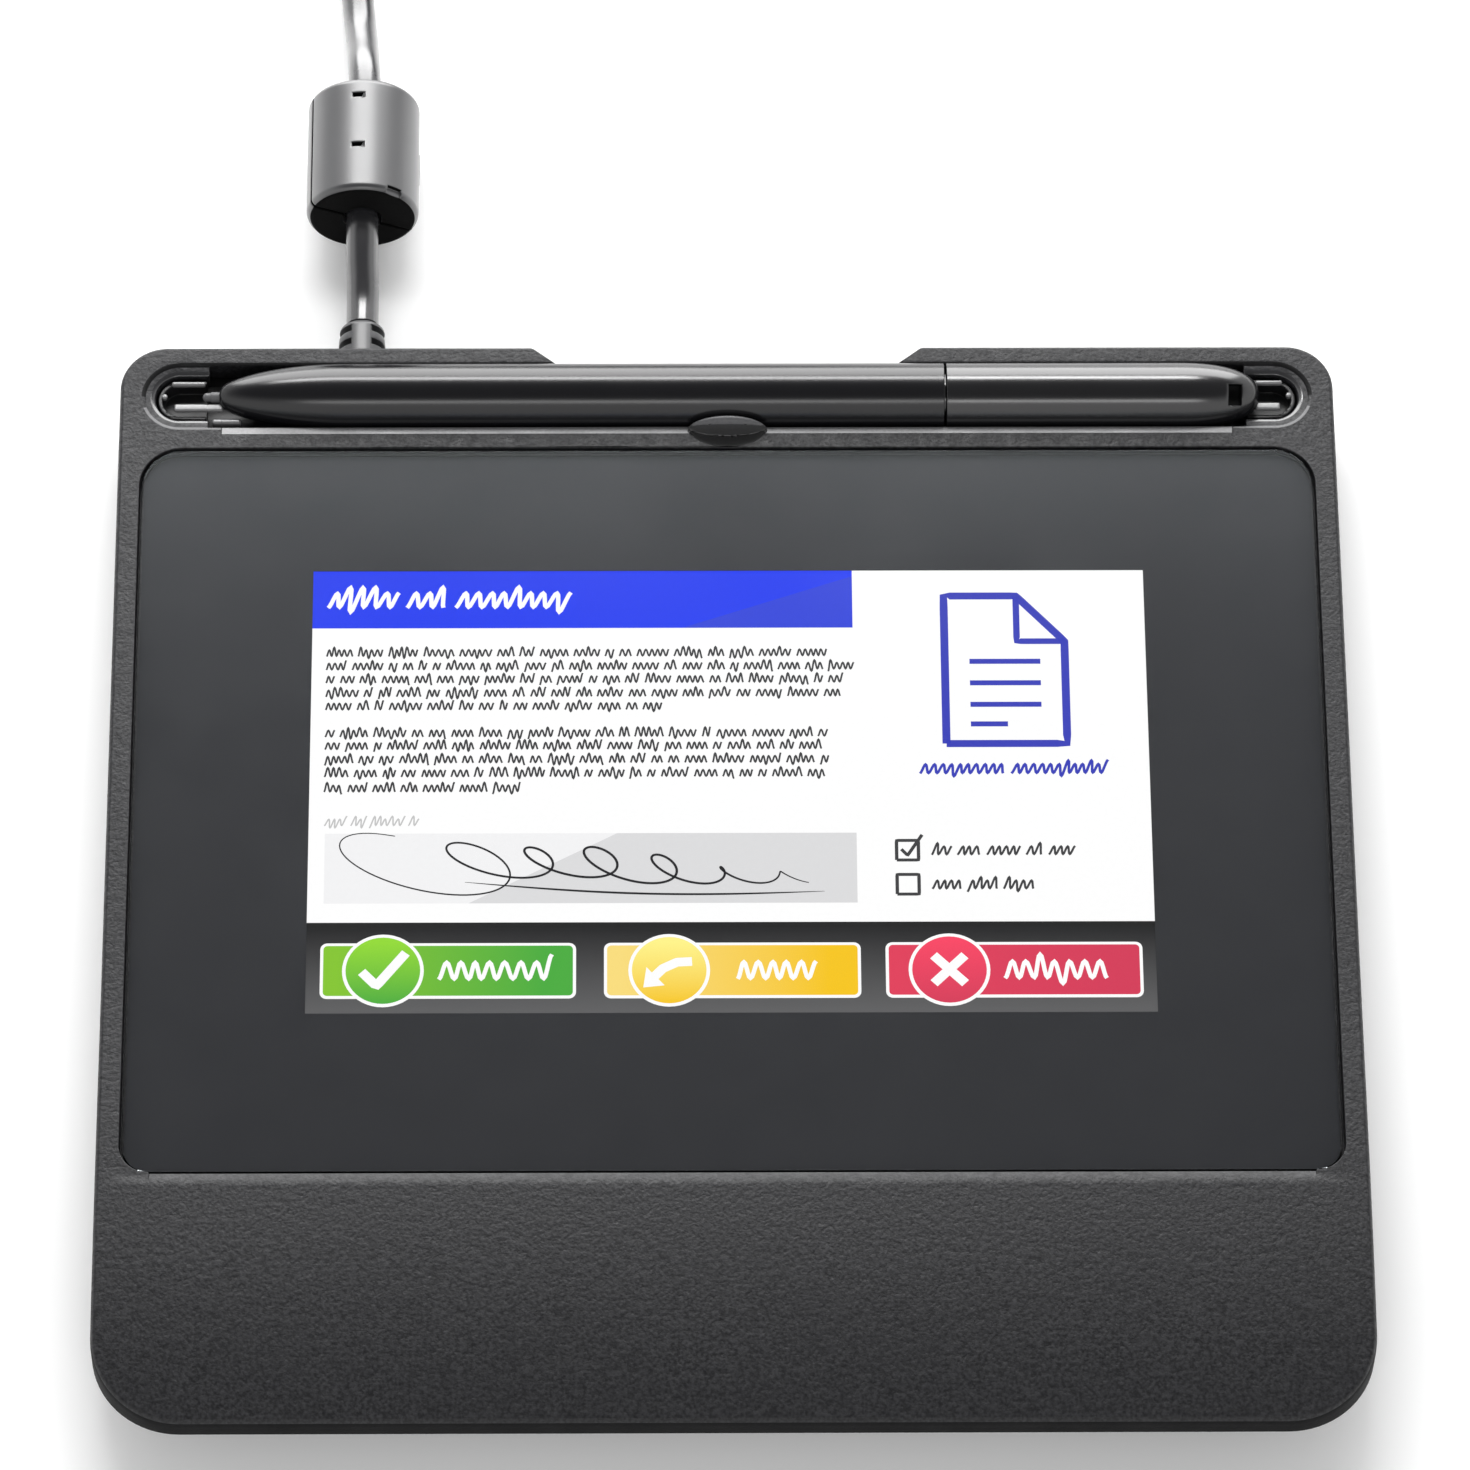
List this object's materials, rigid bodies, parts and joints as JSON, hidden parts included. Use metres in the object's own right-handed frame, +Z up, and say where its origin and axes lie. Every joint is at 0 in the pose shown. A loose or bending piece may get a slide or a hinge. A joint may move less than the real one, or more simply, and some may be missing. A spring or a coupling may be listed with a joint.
{
  "type": "signature pad",
  "caption": "Flat desktop signature pad with a large glass-covered display, a palm rest, a pen lying in a tray along the rear edge and a lead with a ferrite and a USB plug.",
  "frame": {"origin": "under the middle of the casing, on the surface the feet stand on", "axes": "+X to the user's right, +Y away from the user towards the pen tray and the lead, +Z up out of the display"},
  "size_m": [0.16, 0.3139, 0.0158],
  "materials": {
    "casing_plastic": "charcoal, fine spark-eroded texture",
    "tray_plastic": "black, satin",
    "cover_glass_black": "clear over the display, dark grey print round it",
    "display_surface": "lit liquid crystal display",
    "steel_sheet": "pressed sheet",
    "circuit_board_green": "solder resist",
    "chip_black": "moulded package",
    "flex_amber": "polyimide film",
    "socket_ivory": "moulded",
    "rubber_black": "matte",
    "screw_steel": "plated",
    "pen_matte": "black, matte",
    "pen_satin": "dark grey, satin",
    "nib_grey": "smooth",
    "ferrite_black": "sintered ferrite",
    "ferrite_case_grey": "charcoal, satin",
    "copper_wire": "enamelled winding",
    "lead_jacket": "charcoal, satin",
    "rail_grey": "grey, satin"
  },
  "bodies": {
    "pad": {"top_housing": "casing_plastic", "bottom_housing": "casing_plastic", "cover_glass": "cover_glass_black", "glass_seal": "rubber_black", "display_panel": "display_surface", "backlight_unit": "socket_ivory", "display_frame": "steel_sheet", "sensor_board": "circuit_board_green", "shield_plate": "steel_sheet", "main_board": "circuit_board_green", "radio_shield_can": "steel_sheet", "controller_chip": "chip_black", "display_socket": "socket_ivory", "sensor_socket": "socket_ivory", "lead_socket": "socket_ivory", "display_flex": "flex_amber", "sensor_flex": "flex_amber", "inner_lead": "lead_jacket", "pen_tray": "tray_plastic", "tether_anchor_left": "rail_grey", "tether_anchor_right": "rail_grey", "foot_front_left": "rubber_black", "foot_front_right": "rubber_black", "foot_rear_left": "rubber_black", "foot_rear_right": "rubber_black", "screw_front_left": "screw_steel", "screw_front_right": "screw_steel", "screw_rear_left": "screw_steel", "screw_rear_right": "screw_steel", "strain_relief": "lead_jacket", "usb_lead": "lead_jacket", "usb_lead_coil": "lead_jacket", "lead_tie": "rubber_black", "ferrite_base": "ferrite_case_grey", "ferrite_core_base": "ferrite_black", "usb_plug_relief": "lead_jacket", "usb_plug_grip": "lead_jacket", "usb_plug_shell": "steel_sheet", "usb_plug_tongue": "socket_ivory"},
    "pen": {"pen_barrel": "pen_matte", "pen_cap": "pen_satin", "pen_core": "ferrite_black", "pen_coil": "copper_wire", "pen_press_sensor": "chip_black", "pen_board": "circuit_board_green"},
    "nib": {"pen_nib": "nib_grey"},
    "ferrite_cover": {"ferrite_lid": "ferrite_case_grey", "ferrite_core_lid": "ferrite_black"}
  },
  "joints": [
    {"name": "pen_lift", "type": "slide", "parent": "pad", "child": "pen", "axis": [0, 0.2588, 0.9659], "range_m": [0, 0.06]},
    {"name": "nib_press", "type": "slide", "parent": "pen", "child": "nib", "axis": [1, 0, 0], "range_m": [0, 0.0003], "stiffness_N_per_m": 1000},
    {"name": "ferrite_open", "type": "hinge", "parent": "pad", "child": "ferrite_cover", "pos_m": [-0.0554, 0.109, 0.01072], "axis": [0, -1, 0], "range_deg": [0, 110]}
  ]
}
